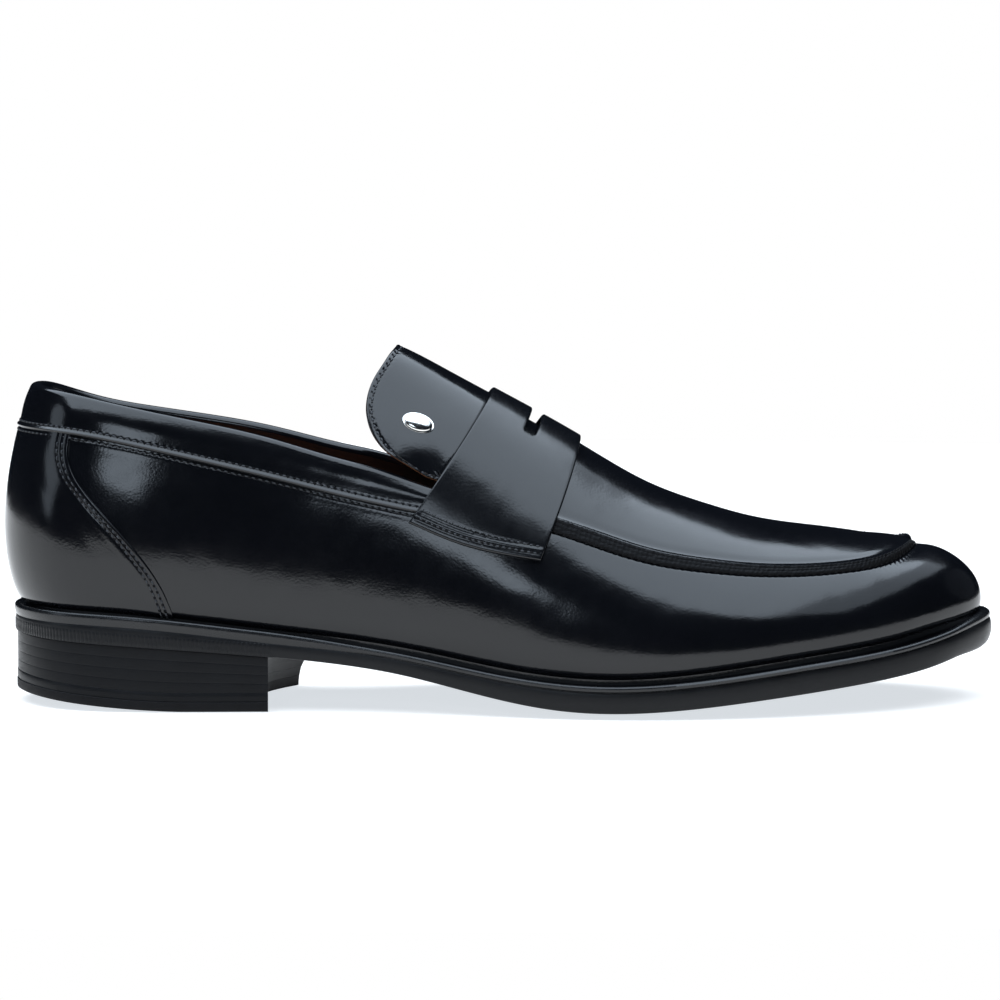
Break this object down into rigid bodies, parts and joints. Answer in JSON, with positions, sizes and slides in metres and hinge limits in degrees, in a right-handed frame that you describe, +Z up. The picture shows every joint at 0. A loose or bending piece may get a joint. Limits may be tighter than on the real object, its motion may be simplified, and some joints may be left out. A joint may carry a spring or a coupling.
{
  "type": "penny loafer",
  "caption": "Slip-on leather shoe for the right foot with an apron toe, a slotted saddle strap, a free tongue that lifts, and a stacked heel.",
  "frame": {"origin": "middle of the shoe's box in plan, on the floor", "axes": "+X to the toe, +Y to the inner side of the foot, +Z up"},
  "size_m": [0.3007, 0.1037, 0.1077],
  "materials": {
    "upper_leather": "black polished box calf",
    "black_lining": "black matt lining leather",
    "tan_lining": "tan matt lining leather",
    "textile": "cotton drill",
    "stiffener": "thermoplastic board",
    "nickel": "polished nickel plate",
    "sole_leather": "black waxed sole leather",
    "board": "insole leather",
    "cork": "ground cork",
    "steel": "plain steel",
    "rubber": "black hard rubber"
  },
  "bodies": {
    "shoe": {"vamp": "upper_leather", "apron": "upper_leather", "heel_foxing": "upper_leather", "collar_band": "upper_leather", "strap": "upper_leather", "collar_facing": "black_lining", "strap_lining": "black_lining", "quarter_lining_outer": "tan_lining", "quarter_lining_inner": "tan_lining", "sock_liner": "tan_lining", "vamp_lining": "textile", "heel_pad": "textile", "heel_counter": "stiffener", "toe_puff": "stiffener", "welt": "sole_leather", "outsole": "sole_leather", "insole_board": "board", "cork_filler": "cork", "shank": "steel", "heel_lift_1": "sole_leather", "heel_lift_2": "sole_leather", "heel_lift_3": "sole_leather", "heel_lift_4": "sole_leather", "top_lift_base": "sole_leather", "top_lift": "rubber", "heel_nail_1": "steel", "heel_nail_2": "steel", "heel_nail_3": "steel", "heel_nail_4": "steel", "heel_nail_5": "steel"},
    "tongue": {"tongue": "upper_leather", "tongue_lining": "black_lining", "tongue_stud": "nickel", "stud_washer": "nickel"}
  },
  "joints": [
    {"name": "tongue_lift", "type": "hinge", "parent": "shoe", "child": "tongue", "pos_m": [-0.0118, 0, 0.08], "axis": [0, 1, 0], "range_deg": [-2, 15], "stiffness_Nm_per_rad": 0.05}
  ]
}
